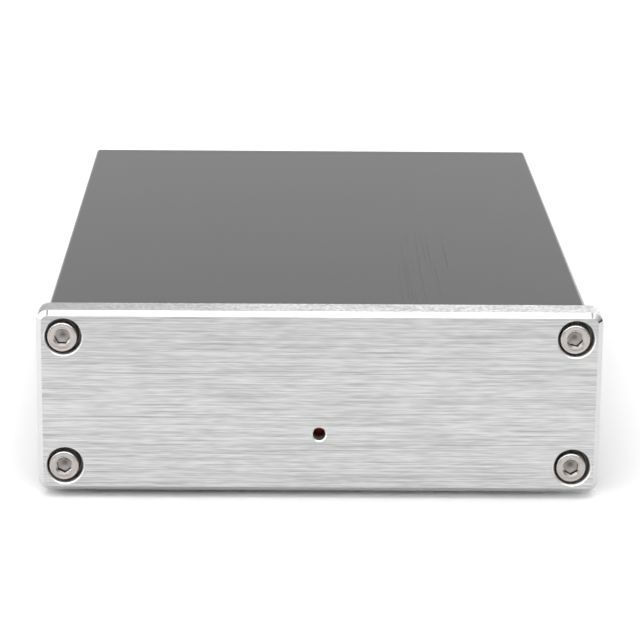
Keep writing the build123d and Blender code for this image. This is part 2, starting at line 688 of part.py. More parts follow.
package_w, package_t, package_h = 10.0, 4.4, 9.2
package_foot = 1.0  # bare lead between the board and the package
tab_t, tab_h = 1.3, 5.8
with BuildPart() as regulators:
    for x, y in regulator_spots:
        above = Align.CENTER, Align.CENTER, Align.MIN
        with Locations((x, y, z_board + package_foot)):
            Box(package_w, package_t, package_h, align=above)
        with Locations((x, y - (package_t - tab_t) / 2, z_board + package_foot + package_h)):
            Box(package_w, tab_t, tab_h, align=above)
        with Locations(*[(x + step * dip_pitch, y, z_board) for step in (-1, 0, 1)]):
            Box(2 * lead_r, 2 * lead_r, package_foot, align=above)
finish(regulators, "regulators")

sink_w, sink_t, sink_h = 16.0, 9.0, 15.5
sink_plate_t, fin_t, fins = 2.0, 1.2, 5
with BuildPart() as regulator_heatsinks:
    fin_pitch = (sink_w - fin_t) / (fins - 1)
    with BuildSketch(Plane.XY.offset(z_board)):
        for x, y in regulator_spots:
            contact_y = y - package_t / 2
            with Locations((x, contact_y - sink_plate_t / 2)):
                Rectangle(sink_w, sink_plate_t)
            with Locations((x, contact_y - sink_t / 2)):
                with GridLocations(fin_pitch, 0, fins, 1):
                    Rectangle(fin_t, sink_t)
    extrude(amount=sink_h)
finish(regulator_heatsinks, "regulator_heatsinks")

bobbin_r, bobbin_flange = 5.0, 1.0
winding_r, winding_t, winding_h = 3.9, 1.2, 4.0
with BuildPart() as choke_bobbin:
    with BuildSketch(Plane.XY.offset(z_board)):
        with Locations(*choke_spots):
            Circle(bobbin_r)
    extrude(amount=2 * bobbin_flange + winding_h)
    with BuildSketch(Plane.XY.offset(z_board + bobbin_flange)):
        with Locations(*choke_spots):
            Circle(bobbin_r)
            Circle(winding_r - winding_t, mode=Mode.SUBTRACT)
    extrude(amount=winding_h, mode=Mode.SUBTRACT)
finish(choke_bobbin, "choke_bobbin")

with BuildPart() as choke_winding:
    with BuildSketch(Plane.XY.offset(z_board + bobbin_flange)):
        with Locations(*choke_spots):
            Circle(winding_r)
            Circle(winding_r - winding_t, mode=Mode.SUBTRACT)
    extrude(amount=winding_h)
finish(choke_winding, "choke_winding")

# ---------------------------------------------------------------- analogue side of the board
small_can_r, small_can_h, small_can_rounding, small_can_crimp = 3.15, 11.0, 0.4, 0.2
with BuildPart() as signal_capacitors:
    add(standing_cans(small_can_spots, small_can_r, small_can_h, small_can_rounding, small_can_crimp))
finish(signal_capacitors, "signal_capacitors")

film_w, film_l, film_h, film_rounding = 3.0, 7.2, 7.0, 0.3
with BuildPart() as film_capacitors:
    with BuildSketch(Plane.XY.offset(z_board)):
        with Locations(*film_cap_spots):
            RectangleRounded(film_w, film_l, film_rounding)
    extrude(amount=film_h)
finish(film_capacitors, "film_capacitors")

socket_side, socket_h = 10.2, 4.0
socket_window_w, socket_window_l = 4.4, 7.0
dip_w, dip_l, dip_h, dip_gap = 6.4, 9.6, 3.2, 0.4
dip_leg_x, dip_leg_t, dip_leg_w = 3.6, 1.0, 1.2
dip_notch_r, dip_notch_h = 0.8, 0.6
with BuildPart() as opamp_sockets:
    with BuildSketch(Plane.XY.offset(z_board)):
        with Locations(*opamp_spots):
            Rectangle(socket_side, socket_side)
            Rectangle(socket_window_w, socket_window_l, mode=Mode.SUBTRACT)
    extrude(amount=socket_h)
finish(opamp_sockets, "opamp_sockets")

with BuildPart() as opamps:
    leg_steps = [(side * dip_leg_x, row) for side in (-1, 1) for row in dip_rows]
    pin_spots = [(x + dx, y + dy) for x, y in opamp_spots for dx, dy in leg_steps]
    with BuildSketch(Plane.XY.offset(z_board + socket_h)):
        with Locations(*pin_spots):
            Rectangle(dip_leg_t, dip_leg_w)
    extrude(amount=dip_gap + dip_h / 2)
    with BuildSketch(Plane.XY.offset(z_board + socket_h + dip_gap)):
        with Locations(*opamp_spots):
            Rectangle(dip_w, dip_l)
    extrude(amount=dip_h)
    with Locations(*[(x, y + dip_l / 2, z_board + socket_h + dip_gap + dip_h) for x, y in opamp_spots]):
        Cylinder(dip_notch_r, dip_notch_h, mode=Mode.SUBTRACT)
finish(opamps, "opamps")

relay_w, relay_l, relay_h = 8.0, 15.0, 9.5
relay_rounding, relay_bevel = 0.5, 0.4
with BuildPart() as output_relay:
    with BuildSketch(Plane.XY.offset(z_board)):
        with Locations(*relay_spots):
            RectangleRounded(relay_w, relay_l, relay_rounding)
    extrude(amount=relay_h)
    chamfer(output_relay.faces().sort_by(Axis.Z)[-1].edges(), relay_bevel)
finish(output_relay, "output_relay")

# ---------------------------------------------------------------- flat chips
leg_l, leg_t, leg_fill = 1.0, 0.3, 0.45
chip_t = 1.2
chip_bevel = 0.15
pin_mark_in, pin_mark_r, pin_mark_depth = 1.1, 0.4, 0.2
# Each chip on the board: (x, gap, width, length, pins on a side, pitch).
chip_plan = {
    "dac_chip": (30.0, 80.0, 7.0, 7.0, 8, 0.8),
    "usb_chip": (-5.5, 46.0, 9.0, 9.0, 12, 0.65),
    "coax_receiver_chip": (5.0, 30.0, 4.4, 9.7, 14, 0.65),
    "control_chip": (10.0, 98.0, 4.4, 6.5, 10, 0.65),
}
leg_rows = []
for chip_name, (x, gap, width, length, pins, pitch) in chip_plan.items():
    y = y_back - gap
    with BuildPart() as moulded_chip:
        with BuildSketch(Plane.XY.offset(z_board + leg_t / 2)):
            with Locations((x, y)):
                Rectangle(width, length)
        extrude(amount=chip_t)
        chamfer(moulded_chip.faces().sort_by(Axis.Z)[-1].edges(), chip_bevel)
        mark_x, mark_y = x - width / 2 + pin_mark_in, y - length / 2 + pin_mark_in
        with Locations((mark_x, mark_y, z_board + leg_t / 2 + chip_t)):
            Cylinder(pin_mark_r, pin_mark_depth, mode=Mode.SUBTRACT)
    finish(moulded_chip, chip_name)
    leg_rows += [(x + side * (width + leg_l) / 2, y, 90, pins, pitch) for side in (-1, 1)]
    if width == length:
        leg_rows += [(x, y + side * (length + leg_l) / 2, 0, pins, pitch) for side in (-1, 1)]
with BuildPart() as chip_legs:
    for x, y, turn, pins, pitch in leg_rows:
        with BuildSketch(Plane.XY.offset(z_board)):
            with Locations(Location((x, y, 0), (0, 0, turn))):
                with GridLocations(pitch, 0, pins, 1):
                    Rectangle(pitch * leg_fill, leg_l)
        extrude(amount=leg_t)
finish(chip_legs, "chip_legs")

# ---------------------------------------------------------------- clocks, header and small parts
crystal_w, crystal_t, crystal_h, crystal_rounding = 11.0, 4.6, 3.5, 0.5
with BuildPart() as clock_crystals:
    with BuildSketch(Plane.XY.offset(z_board)):
        with Locations(*crystal_spots):
            SlotOverall(crystal_w, crystal_t)
    extrude(amount=crystal_h)
    fillet(clock_crystals.faces().group_by(Axis.Z)[-1].edges(), crystal_rounding)
finish(clock_crystals, "clock_crystals")

header_h, header_pin_h, header_pin_w = 2.5, 6.0, 0.64
with BuildPart() as setup_header:
    with BuildSketch(Plane.XY.offset(z_board)):
        with Locations(*header_spots):
            Rectangle(5 * dip_pitch, 2 * dip_pitch)
    extrude(amount=header_h)
    with BuildSketch(Plane.XY.offset(z_board + header_h)):
        with Locations(*[(x + dx, y + dy) for x, y in header_spots for dx, dy in header_pins]):
            Rectangle(header_pin_w, header_pin_w)
    extrude(amount=header_pin_h)
finish(setup_header, "setup_header")

# Each group of chip resistors and capacitors: (x, gap, columns, rows).
passive_groups = [(-6, 57, 4, 2), (40, 80, 2, 4), (20, 80, 2, 4), (-26, 112, 4, 3), (25, 106, 4, 2)]
passive_l, passive_w, passive_h = 2.0, 1.25, 0.6
with BuildPart() as surface_mount_parts:
    with BuildSketch(Plane.XY.offset(z_board)):
        for x, gap, columns, rows in passive_groups:
            with Locations((x, y_back - gap)):
                with GridLocations(1.6 * passive_l, 2 * passive_w, columns, rows):
                    Rectangle(passive_l, passive_w)
    extrude(amount=passive_h)
finish(surface_mount_parts, "surface_mount_parts")

print("overall length", overall_l, "rear face", y_rear, "case top", z_case + shell_h)
print("lever pivot", switch_x, pivot_y, switch_z)
print("shutter axis", toslink_x, shutter_y, shutter_z)
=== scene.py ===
import json
import math

import bmesh
import bpy
from mathutils import Matrix, Vector


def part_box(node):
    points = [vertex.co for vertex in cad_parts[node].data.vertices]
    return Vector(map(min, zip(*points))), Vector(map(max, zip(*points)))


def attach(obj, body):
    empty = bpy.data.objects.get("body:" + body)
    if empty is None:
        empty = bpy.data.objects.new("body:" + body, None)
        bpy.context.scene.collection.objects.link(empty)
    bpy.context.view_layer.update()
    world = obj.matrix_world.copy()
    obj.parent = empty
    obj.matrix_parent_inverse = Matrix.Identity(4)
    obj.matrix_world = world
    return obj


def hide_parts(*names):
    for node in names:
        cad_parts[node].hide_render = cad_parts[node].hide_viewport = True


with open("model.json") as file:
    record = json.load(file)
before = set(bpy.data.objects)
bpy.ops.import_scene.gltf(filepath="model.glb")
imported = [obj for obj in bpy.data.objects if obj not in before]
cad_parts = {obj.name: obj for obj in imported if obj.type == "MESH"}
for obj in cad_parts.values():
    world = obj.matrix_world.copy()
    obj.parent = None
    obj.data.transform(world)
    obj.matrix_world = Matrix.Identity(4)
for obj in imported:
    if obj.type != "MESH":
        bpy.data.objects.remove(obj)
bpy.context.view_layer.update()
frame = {"record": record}
MM = 0.001
collection = bpy.context.scene.collection

# ---------------------------------------------------------------- camera
plate_low, plate_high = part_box("front_panel")
face_y = plate_low.y
plate_x = (plate_low.x + plate_high.x) / 2
CAMERA_PLACE = (plate_x - 7.5 * MM, face_y - 481.8 * MM, plate_low.z + 166.7 * MM)
YAW, PITCH, ROLL = (math.radians(angle) for angle in (0.887, 15.506, 0.546))
camera_data = bpy.data.cameras.new("camera")
camera_data.lens = 154.7
camera_data.sensor_width = 36.0
camera_data.clip_start = 0.01
camera = bpy.data.objects.new("camera", camera_data)
forward = Vector((math.sin(YAW) * math.cos(PITCH), math.cos(YAW) * math.cos(PITCH), -math.sin(PITCH)))
level = Vector((math.cos(YAW), -math.sin(YAW), 0))
right = level * math.cos(ROLL) + level.cross(forward) * math.sin(ROLL)
up = right.cross(forward)
camera.matrix_world = Matrix.Translation(CAMERA_PLACE) @ Matrix((right, up, -forward)).transposed().to_4x4()
collection.objects.link(camera)
bpy.context.scene.camera = camera

# ---------------------------------------------------------------- stage and light
bpy.context.scene.view_settings.view_transform = "Standard"


def softbox(name, place, target, size, power):
    data = bpy.data.lights.new(name, "AREA")
    data.shape = "RECTANGLE"
    data.size, data.size_y = size
    data.energy = power
    lamp = bpy.data.objects.new(name, data)
    lamp.location = place
    lamp.rotation_euler = (Vector(target) - Vector(place)).to_track_quat("-Z", "Y").to_euler()
    lamp.visible_camera = False
    collection.objects.link(lamp)


softbox("overhead", (0, -0.05, 0.9), (0, 0, 0), (1.0, 1.0), 3.5)
softbox("back_right", (0.55, 1.0, 0.34), (0, 0, 0.02), (0.5, 0.4), 1.2)
softbox("left_arch", (-0.8, -0.25, 0.55), (-0.05, -0.08, 0.03), (0.35, 0.8), 1.8)
softbox("front_fill", (-0.05, -0.5, 0.3), (0, -0.1, 0), (0.9, 0.25), 1.2)

# The tent round the object: dimmer towards the horizon, and dimmest behind the camera.
HORIZON, ZENITH, BEHIND_CAMERA = 0.69, 1.32, 0.2
world = bpy.data.worlds.new("tent")
world.use_nodes = True
nodes, links = world.node_tree.nodes, world.node_tree.links


def world_span(value, low, high, to_low, to_high):
    node = nodes.new("ShaderNodeMapRange")
    node.interpolation_type = "SMOOTHSTEP"
    for socket, number in zip(node.inputs, (value, low, high, to_low, to_high)):
        if isinstance(number, bpy.types.NodeSocket):
            links.new(number, socket)
        else:
            socket.default_value = number
    return node.outputs[0]


direction = nodes.new("ShaderNodeSeparateXYZ")
links.new(nodes.new("ShaderNodeTexCoord").outputs["Generated"], direction.inputs[0])
glow = world_span(direction.outputs[2], 0.12, 0.36, 1.12, 0.92)
tent = world_span(direction.outputs[2], 0.38, 0.95, HORIZON, ZENITH)
front_dip = world_span(direction.outputs[1], -0.7, -0.2, BEHIND_CAMERA / HORIZON, 1.0)
dip = world_span(direction.outputs[2], 0.25, 0.6, front_dip, 1.0)
# A bright panel stands on the left, and a narrow dark flag low on the right.
panel = world_span(direction.outputs[0], -0.95, -0.75, 2.1, 1.0)
flag_height = world_span(direction.outputs[2], 0.14, 0.32, 0.06, 1.0)
flag = world_span(direction.outputs[0], 0.9, 0.965, 1.0, flag_height)


def world_times(*factors):
    product = factors[0]
    for factor in factors[1:]:
        node = nodes.new("ShaderNodeMath")
        node.operation = "MULTIPLY"
        links.new(product, node.inputs[0])
        links.new(factor, node.inputs[1])
        product = node.outputs[0]
    return product


nodes["Background"].inputs["Color"].default_value = (1, 1, 1, 1)
links.new(world_times(tent, glow, dip, panel, flag), nodes["Background"].inputs["Strength"])
bpy.context.scene.world = world

FLOOR = 5.0
floor_mesh = bpy.data.meshes.new("floor")
corners = [(x * FLOOR, y * FLOOR, 0) for x, y in ((-1, -1), (1, -1), (1, 1), (-1, 1))]
floor_mesh.from_pydata(corners, [], [(0, 1, 2, 3)])
floor = bpy.data.objects.new("floor", floor_mesh)
collection.objects.link(floor)


# ---------------------------------------------------------------- materials
class Finish:
    """A Principled material, with short calls for the nodes that vary it over the surface."""

    def __init__(self, name, color, roughness, metallic=0.0, **sockets):
        self.material = bpy.data.materials.new(name)
        self.material.use_nodes = True
        self.tree = self.material.node_tree
        self.shader = self.tree.nodes["Principled BSDF"]
        self.shader.inputs["Base Color"].default_value = (*color, 1)
        self.shader.inputs["Roughness"].default_value = roughness
        self.shader.inputs["Metallic"].default_value = metallic
        for socket, value in sockets.items():
            self.shader.inputs[socket.replace("_", " ")].default_value = value
        self.place = self.tree.nodes.new("ShaderNodeTexCoord").outputs["Object"]
        self.normal = self.tree.nodes.new("ShaderNodeNewGeometry").outputs["Normal"]

    def put(self, value, socket):
        if isinstance(value, bpy.types.NodeSocket):
            self.tree.links.new(value, socket)
        else:
            socket.default_value = value

    def math(self, operation, first, second=0.0):
        node = self.tree.nodes.new("ShaderNodeMath")
        node.operation = operation
        self.put(first, node.inputs[0])
        self.put(second, node.inputs[1])
        return node.outputs[0]

    def times(self, *factors):
        product = factors[0]
        for factor in factors[1:]:
            product = self.math("MULTIPLY", product, factor)
        return product

    def axis(self, source, index):
        node = self.tree.nodes.new("ShaderNodeSeparateXYZ")
        self.put(source, node.inputs[0])
        return node.outputs[index]

    def noise(self, grain, detail=2.0, rough=0.5, seed=0.0):
        """Noise from 0 to 1; grain is the size of its features along X, Y and Z in millimetres."""
        scale = self.tree.nodes.new("ShaderNodeMapping")
        scale.inputs["Scale"].default_value = [1 / (size * MM) for size in grain]
        scale.inputs["Location"].default_value = (seed, seed * 1.7, seed * 0.3)
        self.put(self.place, scale.inputs["Vector"])
        node = self.tree.nodes.new("ShaderNodeTexNoise")
        node.inputs["Scale"].default_value = 1.0
        node.inputs["Detail"].default_value = detail
        node.inputs["Roughness"].default_value = rough
        self.put(scale.outputs[0], node.inputs["Vector"])
        return node.outputs["Fac"]

    def line_noise(self, value, grain, detail=2.0):
        """Noise from 0 to 1 that varies only with value, which is in metres; grain is in millimetres."""
        node = self.tree.nodes.new("ShaderNodeTexNoise")
        node.noise_dimensions = "1D"
        node.inputs["Scale"].default_value = 1 / (grain * MM)
        node.inputs["Detail"].default_value = detail
        self.put(value, node.inputs["W"])
        return node.outputs["Fac"]

    def span(self, value, low, high, to_low=0.0, to_high=1.0):
        """value from low..high spread over to_low..to_high, clamped."""
        node = self.tree.nodes.new("ShaderNodeMapRange")
        for socket, number in zip(node.inputs, (value, low, high, to_low, to_high)):
            self.put(number, socket)
        return node.outputs[0]

    def mix(self, amount, first, second):
        node = self.tree.nodes.new("ShaderNodeMix")
        node.data_type = "RGBA"
        self.put(amount, node.inputs["Factor"])
        colors = [socket for socket in node.inputs if socket.type == "RGBA"]
        self.put(first if isinstance(first, bpy.types.NodeSocket) else (*first, 1), colors[0])
        self.put(second if isinstance(second, bpy.types.NodeSocket) else (*second, 1), colors[1])
        return next(socket for socket in node.outputs if socket.type == "RGBA")

    def blend(self, amount, first, second):
        """first where amount is 0, second where it is 1, for plain numbers."""
        node = self.tree.nodes.new("ShaderNodeMix")
        self.put(amount, node.inputs[0])
        self.put(first, node.inputs[2])
        self.put(second, node.inputs[3])
        return node.outputs[0]

    def radius(self, centre):
        """Distance in metres from an axis along Y through centre, (x, z) in metres."""
        dx = self.math("SUBTRACT", self.axis(self.place, 0), centre[0])
        dz = self.math("SUBTRACT", self.axis(self.place, 2), centre[1])
        return self.math("SQRT", self.math("ADD", self.times(dx, dx), self.times(dz, dz)))

    def color(self, value):
        self.put(value, self.shader.inputs["Base Color"])

    def roughness(self, value):
        self.put(value, self.shader.inputs["Roughness"])

    def bump(self, height, depth):
        """Raises the surface by up to depth millimetres where height is 1."""
        node = self.tree.nodes.new("ShaderNodeBump")
        node.inputs["Strength"].default_value = 1.0
        node.inputs["Distance"].default_value = depth * MM
        self.put(height, node.inputs["Height"])
        self.tree.links.new(node.outputs[0], self.shader.inputs["Normal"])


screw_low, screw_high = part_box("front_screws")
CAP_R = 2.75 * MM
cap_x = (screw_low.x + CAP_R, screw_high.x - CAP_R)
cap_z = (screw_low.z + CAP_R, screw_high.z - CAP_R)
cap_middle = (cap_z[0] + cap_z[1]) / 2
PLAY = (0.08 * MM, 0, -0.04 * MM)  # where the screws came to rest in their clearance
CORNER_R = 2.1 * MM
corner_start = (plate_high.x - plate_low.x) / 2 - CORNER_R
lens_low, lens_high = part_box("led_lens")
lamp_spot = ((lens_low.x + lens_high.x) / 2, (lens_low.z + lens_high.z) / 2)


def brushed_aluminium():
    f = Finish("brushed_aluminium", (0.62, 0.62, 0.62), 0.3, 1.0, Specular_Tint=(0.6, 0.6, 0.6, 1))
    facing = f.math("ABSOLUTE", f.axis(f.normal, 1))
    x, height = f.axis(f.place, 0), f.axis(f.place, 2)
    depth = f.math("SUBTRACT", f.axis(f.place, 1), face_y)
    # Hair-fine brushing along X, in short, middling and long strokes.
    lengths_and_seeds = ((3, 0.0), (11, 3.0), (45, 7.0))
    strokes = [f.noise((length, 0.2, 0.2), 0.0, 0.5, seed) for length, seed in lengths_and_seeds]
    streak = f.times(f.math("ADD", f.math("ADD", strokes[0], strokes[1]), strokes[2]), 1 / 3)
    shade = f.mix(f.span(streak, 0.38, 0.62), (0.44, 0.44, 0.442), (0.61, 0.61, 0.608))
    hairline = f.span(f.noise((14, 0.2, 0.2), 0.0, 0.5, 21.0), 0.66, 0.74)
    shade = f.mix(f.times(hairline, 0.35), shade, (0.2, 0.2, 0.2))
    # The face carries a painted shade, a little darker towards its top, whatever the light.
    painted_top_shade = f.span(height, plate_low.z, plate_high.z, 0.0, 0.19)
    shade = f.mix(painted_top_shade, shade, (0.2, 0.2, 0.2))
    # The plate's edges were milled, and are brighter and more mottled than the brushed face.
    milled = f.span(facing, 0.3, 0.15)
    mottle = f.math("ADD", f.times(f.noise((0.7, 0.5, 0.35), 1.0, 0.6, 9.0), 0.7),
                    f.times(f.noise((9, 2, 3), 1.0, 0.5, 5.0), 0.3))
    edge = f.mix(f.span(mottle, 0.38, 0.62), (0.65, 0.65, 0.65), (1, 1, 1))
    # The left half of these edges carries a painted shade, darker whatever the light.
    edge = f.mix(f.span(x, plate_low.x, plate_x, 0.65, 0.0), edge, (0.4, 0.4, 0.4))
    shade = f.mix(milled, shade, edge)
    # The chamfers and hole rims were cut after the brushing, and are bright.
    cut = f.times(f.span(facing, 0.3, 0.5), f.span(facing, 0.98, 0.85))
    bright = f.mix(f.noise((1.2, 0.05, 0.05), 1.0, 0.5, 11.0), (0.56, 0.56, 0.56), (0.66, 0.66, 0.66))
    # The straight chamfers and the corners were separate cuts, and a dark step shows between them.
    corner = f.math("SUBTRACT", f.math("ABSOLUTE", f.math("SUBTRACT", x, plate_x)), corner_start)
    step = f.span(f.math("ABSOLUTE", corner), 0.12 * MM, 0.3 * MM, 1.0, 0.0)
    step = f.times(step, f.span(height, plate_high.z - 1.1 * MM, plate_high.z - 0.7 * MM))
    bright = f.mix(f.times(step, 0.8), bright, (0.1, 0.1, 0.1))
    # Distance from the nearest screw seat's axis, and from the lamp's.
    seat_x = f.math("SUBTRACT", f.math("ABSOLUTE", f.math("SUBTRACT", x, plate_x)), cap_x[1])
    seat_z = f.math("ABSOLUTE", f.math("SUBTRACT", height, cap_middle))
    seat_z = f.math("SUBTRACT", seat_z, cap_z[1] - cap_middle)
    seat_r = f.math("SQRT", f.math("ADD", f.times(seat_x, seat_x), f.times(seat_z, seat_z)))
    lamp_r = f.radius(lamp_spot)
    rim = f.times(cut, f.math("MAXIMUM", f.span(seat_r, 3.75 * MM, 3.8 * MM, 1.0, 0.0),
                              f.span(lamp_r, 1.6 * MM, 1.7 * MM, 1.0, 0.0)))
    # The rims carry painted light by the way they face: a painted shade with the cutter's rings where they
    # face down, and a painted highlight elsewhere.
    lit = f.span(f.axis(f.normal, 2), -0.5, -0.25)
    rings = f.line_noise(f.math("ADD", seat_r, depth), 0.2, 2.0)
    ringed_painted_shade = f.mix(f.span(rings, 0.42, 0.58), (0.006, 0.006, 0.006), (0.4, 0.395, 0.39))
    bright = f.mix(rim, bright, f.mix(lit, ringed_painted_shade, (0.97, 0.97, 0.97)))
    # Inside the drilled holes the metal carries a painted shade, dark with the cutter's rings.
    hole = f.math("MAXIMUM", f.span(seat_r, 3.34 * MM, 3.38 * MM, 1.0, 0.0),
                  f.span(lamp_r, 1.5 * MM, 1.6 * MM, 1.0, 0.0))
    painted_bore_shade = f.times(hole, f.span(depth, 0.25 * MM, 0.4 * MM))
    f.color(f.mix(painted_bore_shade, f.mix(cut, shade, bright), ringed_painted_shade))
    f.put(f.math("SUBTRACT", 1.0, painted_bore_shade), f.shader.inputs["Metallic"])
    rough = f.blend(milled, f.span(streak, 0.3, 0.7, 0.36, 0.27), 0.5)
    f.roughness(f.blend(painted_bore_shade, f.blend(rim, f.blend(cut, rough, 0.14), 0.4), 0.6))
    f.bump(f.times(f.blend(milled, streak, mottle), f.math("SUBTRACT", 1.0, cut)), 0.006)
    return f.material


def anodised_case():
    f = Finish("dark_anodised", (0.03, 0.03, 0.031), 0.27, IOR=1.52)
    drawn = f.noise((0.16, 30, 0.16), 3.0, 0.6)
    # Something has been slid along the top, leaving a few long scratches right of the middle.
    scuff = f.span(f.noise((0.3, 50, 0.3), 0.0, 0.5, 13.0), 0.64, 0.74)
    off_track = f.math("ABSOLUTE", f.math("SUBTRACT", f.axis(f.place, 0), 21 * MM))
    track = f.times(f.span(off_track, 5 * MM, 8 * MM, 1.0, 0.0),
                    f.span(f.axis(f.place, 1), -35 * MM, -5 * MM, 1.0, 0.0))
    scuff = f.times(scuff, f.math("ADD", f.times(track, 0.55), 0.06))
    fine = f.noise((0.08, 1.5, 0.08), 2.0, 0.6, 4.0)
    tone = f.math("ADD", f.times(drawn, 0.7), f.times(fine, 0.3))
    f.color(f.mix(f.span(tone, 0.3, 0.7), (0.02, 0.02, 0.021), (0.03, 0.03, 0.031)))
    f.roughness(f.blend(scuff, f.span(tone, 0.3, 0.7, 0.205, 0.225), 0.4))
    f.bump(tone, 0.0015)
    return f.material


def black_anodised(name, color, rough):
    f = Finish(name, color, rough)
    grain = f.noise((0.12, 1.8, 0.12), 2.0, 0.6)
    cloud = f.noise((18, 40, 18), 2.0, 0.5, 5.0)
    f.color(f.mix(f.span(grain, 0.3, 0.7), [c * 0.85 for c in color], [c * 1.2 for c in color]))
    f.roughness(f.span(cloud, 0.3, 0.7, rough - 0.03, rough + 0.05))
    f.bump(grain, 0.003)
    return f.material


def turned_steel():
    f = Finish("stainless", (0.48, 0.45, 0.43), 0.24, 1.0)
    smear = f.noise((0.5, 0.5, 0.5), 3.0, 0.6, 1.0)
    speck = f.noise((0.09, 0.09, 0.09), 2.0, 0.5)
    dx = f.math("ABSOLUTE", f.math("SUBTRACT", f.axis(f.place, 0), PLAY[0]))
    dx = f.math("SUBTRACT", dx, cap_x[1])
    dz = f.math("ABSOLUTE", f.math("SUBTRACT", f.axis(f.place, 2), cap_middle + PLAY[2]))
    dz = f.math("SUBTRACT", dz, cap_z[1] - cap_middle)
    from_axis = f.math("SQRT", f.math("ADD", f.times(dx, dx), f.times(dz, dz)))
    depth = f.math("SUBTRACT", f.axis(f.place, 1), screw_low.y)
    # The pressed sockets have dull walls with a painted shade, and a painted shade on the drill's point in
    # the middle of the floor.
    inside = f.times(f.span(from_axis, 1.5 * MM, 1.6 * MM, 1.0, 0.0), f.span(depth, 0.3 * MM, 0.42 * MM))
    painted_wall_shade = f.times(inside, f.span(f.math("ABSOLUTE", f.axis(f.normal, 1)), 0.5, 0.3))
    point = f.times(inside, f.span(from_axis, 0.15 * MM, 0.8 * MM, 1.0, 0.0))
    turning = f.span(f.line_noise(from_axis, 0.12), 0.3, 0.7)
    marks = f.math("ADD", f.times(smear, 0.6), f.times(turning, 0.4))
    tone = f.mix(marks, (0.36, 0.335, 0.32), (0.5, 0.47, 0.45))
    # The head's rounded edge, where it faces up, carries a painted highlight.
    painted_edge_highlight = f.times(f.span(from_axis, 2.48 * MM, 2.55 * MM), f.span(f.axis(f.normal, 2), 0.25, 0.55))
    tone = f.mix(painted_edge_highlight, tone, (0.85, 0.83, 0.81))
    tone = f.mix(inside, tone, f.mix(smear, (0.42, 0.4, 0.385), (0.52, 0.5, 0.485)))
    tone = f.mix(painted_wall_shade, f.mix(f.times(point, 0.6), tone, (0.1, 0.1, 0.1)), (0.04, 0.038, 0.036))
    f.color(tone)
    f.roughness(f.blend(inside, f.span(smear, 0.3, 0.7, 0.2, 0.28), 0.55))
    f.bump(f.math("ADD", f.times(speck, 0.5), f.times(turning, 0.5)), 0.0015)
    return f.material


def plain(name, color, rough, metallic=0.0, depth=0.004, spread=0.15):
    """Moulded, plated or dipped surfaces: a fine grain, and a slow change of colour and gloss."""
    f = Finish(name, color, rough, metallic)
    speck = f.noise((0.15, 0.15, 0.15), 2.0, 0.6)
    cloud = f.noise((4, 4, 4), 2.0, 0.5, 2.0)
    f.color(f.mix(cloud, [c * (1 - spread) for c in color], [min(1, c * (1 + spread)) for c in color]))
    f.roughness(f.span(cloud, 0.3, 0.7, rough * 0.85, min(1, rough * 1.15)))
    f.bump(speck, depth)
    return f.material


MATERIALS = {
    "brushed_aluminium": brushed_aluminium(),
    "dark_anodised": anodised_case(),
    "black_anodised": black_anodised("black_anodised", (0.02, 0.02, 0.02), 0.4),
    "stainless": turned_steel(),
    "black_oxide": plain("black_oxide", (0.05, 0.05, 0.05), 0.35, 1.0),
    "black_rubber": plain("black_rubber", (0.02, 0.02, 0.02), 0.7),
    "board_laminate": plain("board_laminate", (0.02, 0.16, 0.07), 0.35),
    "tinned_metal": plain("tinned_metal", (0.6, 0.6, 0.58), 0.35, 1.0),
    "red_lens": plain("red_lens", (0.62, 0.03, 0.015), 0.1, spread=0.1, depth=0.0005),
    "black_plastic": plain("black_plastic", (0.015, 0.015, 0.015), 0.45),
    "white_plastic": plain("white_plastic", (0.8, 0.8, 0.78), 0.35, spread=0.04),
    "red_plastic": plain("red_plastic", (0.5, 0.02, 0.02), 0.35),
    "orange_plastic": plain("orange_plastic", (0.8, 0.2, 0.02), 0.35),
    "grey_plastic": plain("grey_plastic", (0.08, 0.08, 0.08), 0.4),
    "blue_plastic": plain("blue_plastic", (0.02, 0.08, 0.35), 0.35),
    "yellow_plastic": plain("yellow_plastic", (0.75, 0.62, 0.3), 0.4),
    "gold_plate": plain("gold_plate", (0.83, 0.62, 0.25), 0.2, 1.0, spread=0.06),
    "plated_steel": plain("plated_steel", (0.62, 0.62, 0.6), 0.2, 1.0, spread=0.06),
    "can_sleeve": plain("can_sleeve", (0.03, 0.03, 0.05), 0.3),
    "chip_black": plain("chip_black", (0.02, 0.02, 0.02), 0.5),
    "ferrite": plain("ferrite", (0.05, 0.05, 0.05), 0.6),
    "copper": plain("copper", (0.7, 0.3, 0.15), 0.3, 1.0),
    "film_red": plain("film_red", (0.45, 0.04, 0.03), 0.25),
    "ceramic_brown": plain("ceramic_brown", (0.35, 0.25, 0.17), 0.5),
}
floor_mesh.materials.append(plain("pale_floor", (0.9, 0.9, 0.9), 0.6, spread=0.01))

SLOT_OF = {row["node"]: row["material_slot"] for row in frame["record"]["subparts"]}
bodies = frame["record"]["behaviour"]["bodies"]
BODY_OF = {node: body for body, members in bodies.items() for node in members}
for node_name, slot_name in SLOT_OF.items():
    for slot in bpy.data.objects[node_name].material_slots:
        slot.link = "OBJECT"
        slot.material = MATERIALS[slot_name]


# ---------------------------------------------------------------- pieces
def smooth(mesh, angle=30.0):
    mesh.shade_smooth()
    mesh.set_sharp_from_angle(angle=math.radians(angle))


def settle(mesh, name, node):
    """Makes a mesh into the piece that stands for a CAD node, with its body, slot and material."""
    mesh.materials.clear()
    mesh.materials.append(MATERIALS[SLOT_OF[node]])
    piece = bpy.data.objects.new(name, mesh)
    collection.objects.link(piece)
    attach(piece, BODY_OF[node])
    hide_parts(node)
    return piece


